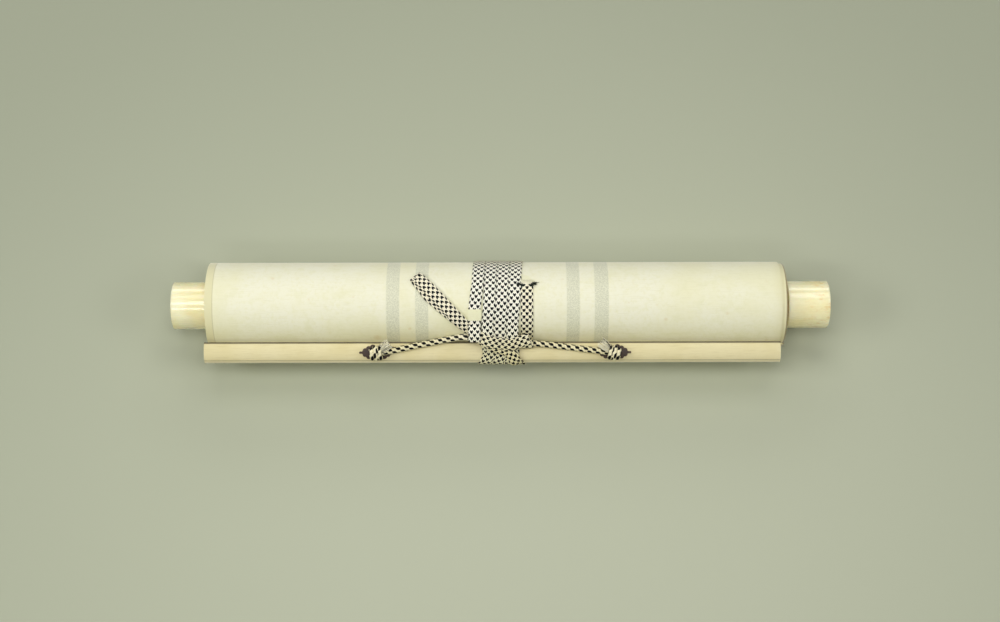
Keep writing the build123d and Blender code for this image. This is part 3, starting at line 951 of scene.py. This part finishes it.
def add_loop(strap_before):
    """The crossing over the turns, the folded loop, and the way back to the cord."""
    crossing = [on_stave(*place) for place in crossing_on_stave]
    crossing += [on_bridge(x, share, over_turns + above) for x, share, above in crossing_places]
    returning = [on_bridge(x, share, over_turns + layer + above) for x, share, above in returning_places]
    points, carried = station_path(crossing + list(leg_stations(lower_leg, strap_lift)))
    upper_points, upper_carried = station_path(list(leg_stations(upper_leg, over_turns)) + returning)
    along_leg = unit(upper_points[0] - upper_points[2])
    fold_middle = (points[-1] + upper_points[0]) / 2 + along_leg * fold_reach
    for place, row in fold_back(fold_middle, facing(lower_leg[-1][1]), along_leg):
        points.append(place)
        carried.append(row)
    points += upper_points
    carried += [(*(-np.array(row[:3])), row[3]) for row in upper_carried]
    points, carried, reach = smooth_path(points, carried, strap_spacing)
    add_braid("strap_loop", points, carried, reach + strap_before, tie_material, both_faces=True)


def add_tail():
    """The strap's end, once round the cord and up the roll."""
    points, carried = station_path([round_cord(tail_x, angle) for angle in tail_round_cord])
    for angle in tail_up_roll:
        points.append(at(*on_roll(tail_x, angle)[:3]))
        carried.append((*(-facing(angle)), strap_width))
    points, carried, reach = smooth_path(points, carried, strap_spacing)
    add_braid("strap_tail", points, carried, reach, tie_material, both_faces=True)


# Round braid
def read_spline(route):
    """Points along a smooth spline with the route's points as its control points."""
    curve = bpy.data.curves.new("cord_line", "CURVE")
    curve.dimensions = "3D"
    curve.resolution_u = spline_steps
    spline = curve.splines.new("NURBS")
    spline.points.add(len(route) - 1)
    for point, place in zip(spline.points, route):
        point.co = (*at(place[0], roll_radius + place[1], place[2]), 1.0)
    spline.order_u = 3
    spline.use_endpoint_u = True
    holder = bpy.data.objects.new("cord_line", curve)
    line = bpy.data.meshes.new_from_object(holder)
    points = np.array([tuple(vertex.co) for vertex in line.vertices])
    bpy.data.objects.remove(holder)
    bpy.data.meshes.remove(line)
    bpy.data.curves.remove(curve)
    return points


def directions_round(first, second, ring):
    """Even directions round a line, from the first one given towards the second."""
    angles = (np.arange(ring) / ring * 2 * pi)[:, None]
    return first[:, None, :] * np.cos(angles) + second[:, None, :] * np.sin(angles)


def carried_across(run):
    """Directions across a line, carried along it without a twist."""
    up = np.zeros_like(run)
    up[0] = unit(np.cross(run[0], np.cross((0.0, 0.0, 1.0), run[0])))
    for index in range(1, len(run)):
        up[index] = up[index - 1] - run[index] * np.dot(up[index - 1], run[index])
        up[index] /= np.linalg.norm(up[index])
    return up


def round_braid_uv(across, along, rows, ring):
    """Columns and stitches at each corner of the quads, and zeros at the two end faces."""
    row, column = np.meshgrid(np.arange(rows - 1), np.arange(ring), indexing="ij")
    corner_rows = np.stack([row, row, row + 1, row + 1], axis=-1).reshape(-1)
    corner_columns = np.stack([column, column + 1, column + 1, column], axis=-1).reshape(-1)
    quads = np.stack([across[corner_columns], along[corner_rows]], axis=-1)
    return np.concatenate([quads, np.zeros((2 * ring, 2))])


def add_round_braid(name, line, diameter, columns):
    """A round braid along a line, with slanting stitches in columns round it."""
    points, _, reach = smooth_path(line, np.ones_like(line), cord_stitch / rows_round_stitch)
    run = unit(np.gradient(points, axis=0))
    up = carried_across(run)
    side = np.cross(run, up)
    ring = columns * steps_round_column
    across = np.arange(ring + 1) / steps_round_column
    offset = across - np.round(across)
    along = reach / cord_stitch
    shift = np.round(across) % 2 * stitches_per_mark / 2 - 2 * cord_rise * offset
    level = along[:, None] + shift[:ring]
    dips = 1 - cord_dip * (2 * np.abs(offset[:ring])) ** 4
    radius = diameter / 2 + cord_relief * (stitch_backs(level) * dips - 1)
    rings = points[:, None, :] + directions_round(up, side, ring) * radius[..., None]
    faces = ring_faces(len(points), ring)
    uv = round_braid_uv(across, along, len(points), ring)
    return add_piece(name, rings.reshape(-1, 3), faces, cord_material, uv)


# Knots and threads
along_plate = np.array((0.0, cos(radians(eyelet_tilt)), sin(radians(eyelet_tilt))))
off_plate = facing(eyelet_tilt)


def plate_place(x):
    """The middle of the plate's outer face."""
    return at(x, *stave_point(eyelet_tilt)) + off_plate * plate_top


def add_knot(end, x, side):
    """Turns of cord side by side round the eye, from the cord's end to the tuft."""
    seat = plate_place(x)
    middle = seat + off_plate * eye_radius
    line = []
    for share in np.linspace(0.0, 1.0, knot_points):
        angle = (knot_turns * share + knot_phase) * 2 * pi
        reach = knot_end_radius + (knot_radius - knot_end_radius) * sin(pi * share) ** 0.5
        place = middle + reach * (cos(angle) * along_plate + sin(angle) * off_plate)
        place = place + np.array((side * knot_half_width * (2 * share - 1), 0.0, 0.0))
        height = np.dot(place - seat, off_plate)
        line.append(place + off_plate * max(0.0, knot_diameter / 2 + knot_clearance - height))
    knot = add_round_braid(f"{end}_knot_turns", np.array(line), knot_diameter, knot_columns)
    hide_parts(f"{end}_cord_knot")
    return knot


def add_threads(name, paths, material):
    """Loose threads, each a thin tube along a bend of three places, thinner at its tip."""
    shares = np.linspace(0.0, 1.0, thread_rows)
    points, faces = [], []
    for start, bend, end in paths:
        line = np.outer((1 - shares) ** 2, start) + np.outer(2 * shares * (1 - shares), bend)
        line += np.outer(shares**2, end)
        run = unit(np.gradient(line, axis=0))
        side = unit(np.cross(run, unit(run[0] + thread_skew)))
        up = np.cross(run, side)
        width = thread_radius * (1 - tip_thinning * shares)[:, None, None]
        base = len(points) * thread_rows * thread_sides
        rings = line[:, None, :] + directions_round(side, up, thread_sides) * width
        points.append(rings.reshape(-1, 3))
        faces += [[base + index for index in face] for face in ring_faces(thread_rows, thread_sides)]
    return add_piece(name, np.concatenate(points), faces, material)


def tuft_paths(x, side, count, spread):
    """Threads that fan out of a knot, up over the roll's face."""
    middle = plate_place(x) + off_plate * eye_radius
    lean = np.array((side, 0.0, 0.0)) * cos(tuft_angle) * cos(tuft_rise)
    lean = lean + along_plate * sin(tuft_angle) * cos(tuft_rise) + off_plate * sin(tuft_rise)
    first = unit(np.cross(lean, (0.0, 0.0, 1.0)))
    second = np.cross(lean, first)
    for _ in range(count):
        around, out = draws.uniform(0, 2 * pi), sqrt(draws.uniform(0, 1))
        fan = first * cos(around) + second * sin(around)
        start = middle + lean * tuft_start + fan * out * tuft_root_spread
        end = middle + lean * draws.uniform(*tuft_lengths) * tuft_end + fan * out * spread
        bend = (start + end) / 2 + draws.normal(0, tuft_tangle, 3) + fan * tuft_bow
        yield start, bend, end


def add_knots():
    """Both knots and their tufts, first the left ones."""
    pieces = []
    for end, x, side in (("left", eyelet_x[0], 1), ("right", eyelet_x[1], -1)):
        pieces.append(add_knot(end, x, side))
        paths = tuft_paths(x, side, pale_count, tuft_spread)
        pieces.append(add_threads(f"{end}_tuft_pale", paths, pale_threads))
        paths = tuft_paths(x, side, dark_count, dark_spread)
        pieces.append(add_threads(f"{end}_tuft_dark", paths, dark_threads))
    return pieces


def above_tail(x, angle, lift):
    """A place over the roll's face beside the tail's end, at an angle past that end."""
    return at(*on_roll(tail_x + x, tail_end_angle + angle, lift)[:3])


def fringe_paths():
    """Pale threads at the tail's end that lie up the roll."""
    for _ in range(fringe_pale):
        across = draws.uniform(-1, 1) * strap_width * fringe_breadth
        reach = draws.uniform(*fringe_lengths)
        spread = across * draws.uniform(*fringe_flare) + draws.normal(0, tuft_tangle)
        lift = fringe_root + draws.uniform(-fringe_root_spread, fringe_root_spread)
        start = above_tail(across, fringe_root_angle, lift)
        bend = above_tail((across + spread) / 2, -reach * 0.5, lift + fringe_bow)
        end = above_tail(spread, -reach, draws.uniform(*fringe_tip_lifts))
        yield start, bend, end


def corner_paths():
    """Dark threads that curl away from both corners of the tail's end."""
    for side in (-1, 1):
        for _ in range(fringe_dark):
            across = side * strap_width * draws.uniform(*corner_places)
            away = side * draws.uniform(*corner_reach)
            lift = fringe_root + draws.uniform(0.0, 2 * fringe_root_spread)
            start = above_tail(across, corner_root, lift)
            bend = above_tail(across + away * corner_bend_share, corner_bend, lift + corner_bow)
            turned = draws.uniform(*corner_turns)
            end = above_tail(across + away, turned, draws.uniform(*corner_tip_lifts))
            yield start, bend, end


# Stage
def add_lamp(name, elevation, right, distance, share, size, size_y):
    """A soft lamp that faces the roll. A share of 1 lights a colour as it is written."""
    lamp = bpy.data.lights.new(name, "AREA")
    lamp.shape = "RECTANGLE"
    lamp.size = size
    lamp.size_y = size_y
    lamp.energy = share * pi**2 * distance**2
    holder = add_object(name, lamp)
    lean = radians(elevation)
    towards = Vector((tan(radians(right)), -cos(lean), sin(lean))).normalized()
    holder.location = Vector(at(0.0, 0.0, 0.0)) + towards * distance
    holder.rotation_mode = "QUATERNION"
    holder.rotation_quaternion = towards.to_track_quat("Z", "Y")


def add_sky():
    """A faint even light. Reflections see a pale room in it, and the camera the backdrop."""
    s = Shader("world", bpy.data.worlds)
    rays = s.node("ShaderNodeLightPath").outputs
    strength = s.math("MULTIPLY_ADD", rays["Is Glossy Ray"], room_share - sky_share, sky_share)
    light = s.node("ShaderNodeBackground", {"Color": sky_colour, "Strength": strength}).outputs[0]
    backdrop = s.node("ShaderNodeBackground", {"Color": backdrop_colour}).outputs[0]
    seen = s.mix_shaders(rays["Is Camera Ray"], light, backdrop)
    bpy.context.scene.world = s.output(seen, "ShaderNodeOutputWorld")


def add_floor():
    """A square floor at the height that the scroll lies on."""
    mesh = bpy.data.meshes.new("floor")
    corners = [(x * floor_half, y * floor_half, 0) for x, y in ((-1, -1), (1, -1), (1, 1), (-1, 1))]
    mesh.from_pydata(corners, [], [(0, 1, 2, 3)])
    mesh.materials.append(floor_shader())
    floor = add_object("floor", mesh)


def add_camera():
    """The camera, in front of the scroll and above it."""
    data = bpy.data.cameras.new("camera")
    data.lens = camera_lens
    data.sensor_width = 36.0
    data.clip_start = 0.05
    data.clip_end = 50.0
    camera = add_object("camera", data)
    tilt = radians(camera_elevation)
    look = Vector((0.0, cos(tilt), -sin(tilt)))
    image_up = Vector((0.0, sin(tilt), cos(tilt)))
    camera.location = Vector(at(view_x, 0.0, 0.0)) - image_up * view_drop - look * camera_distance
    camera.rotation_mode = "QUATERNION"
    roll = Quaternion((0.0, 0.0, 1.0), radians(-camera_roll))
    camera.rotation_quaternion = look.to_track_quat("-Z", "Y") @ roll
    bpy.context.scene.camera = camera


# Materials, and the solids that they finish
strap_material = braid_shader("strap_braid", colour(255, 253, 238), 0.53, 0.68)
tie_material = braid_shader("tie_braid", colour(253, 246, 216), 0.54, 0.72)
cord_material = braid_shader("cord_braid", colour(254, 246, 218), 0.5, 0.76, flat=False)
pale_threads = thread_shader("pale_threads", colour(255, 253, 234))
dark_threads = thread_shader("dark_threads", colour(16, 26, 18))
bronze_nodes = ("left_eyelet", "right_eyelet", "left_eyelet_plate", "right_eyelet_plate")
node_materials = {
    "roller_rod": wood_shader("rod_wood", colour(214, 178, 128), colour(186, 146, 96)),
    "stave_core": wood_shader("stave_wood", colour(220, 186, 136), colour(190, 150, 100)),
    "paper_roll": paper_shader(),
    "paper_band": band_shader(),
    **dict.fromkeys(("left_knob", "right_knob"), knob_shader()),
    **dict.fromkeys(bronze_nodes, bronze_shader()),
}
for name, material in node_materials.items():
    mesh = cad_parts[name].data
    mesh.materials.clear()
    mesh.materials.append(material)

# Strap
cord_line = read_spline(cord_route)
winding_length = add_winding()
add_loop(winding_length)
add_tail()

# Cord with its knots and tufts
cord = add_round_braid("hanging_braid", cord_line, cord_diameter, cord_columns)
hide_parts("hanging_cord")
knots = add_knots()

# Fringe at the strap's end. Its random draws come after those of the tufts
add_threads("fringe_pale", fringe_paths(), pale_threads)
add_threads("fringe_dark", corner_paths(), dark_threads)

# Lamps, sky, floor and camera
for lamp in lamps:
    add_lamp(*lamp)
add_sky()
add_floor()
add_camera()
bpy.context.scene.view_settings.view_transform = "Standard"
